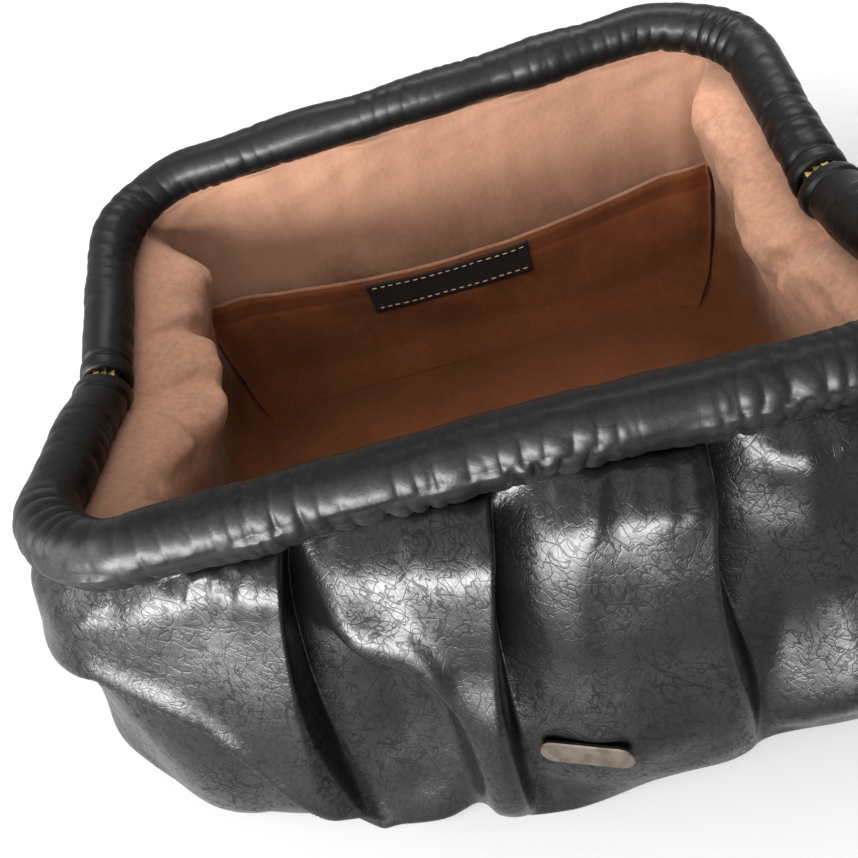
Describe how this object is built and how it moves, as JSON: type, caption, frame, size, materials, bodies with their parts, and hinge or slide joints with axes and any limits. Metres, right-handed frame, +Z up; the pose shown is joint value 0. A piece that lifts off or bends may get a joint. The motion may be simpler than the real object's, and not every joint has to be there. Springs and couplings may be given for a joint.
{
  "type": "pouch bag",
  "caption": "soft black leather frame pouch standing open, with padded gathered rim sleeves on a hinged frame, pleated panels and a brown suede lining with a slip pocket",
  "frame": {"origin": "centre of the box of the whole bag, on the surface that it stands on", "axes": "+X along the long bars of the mouth, -Y the pleated front, +Z up"},
  "size_m": [0.323, 0.2993, 0.1348],
  "materials": {
    "black_leather": "glossy crackled nappa",
    "brown_suede": "soft brushed suede",
    "pale_brass": "polished pale brass",
    "bronze_plate": "satin light bronze",
    "black_label": "flat black with tan stitching"
  },
  "bodies": {
    "root": {"frame_front": "pale_brass", "frame_back": "pale_brass", "hinge_pin_left": "pale_brass", "hinge_pin_right": "pale_brass", "sleeve_front": "black_leather", "sleeve_back": "black_leather", "panel_front": "black_leather", "panel_back": "black_leather", "base": "black_leather", "lining": "brown_suede", "pocket": "brown_suede", "label": "black_label", "ornament_plate": "bronze_plate"}
  },
  "joints": []
}
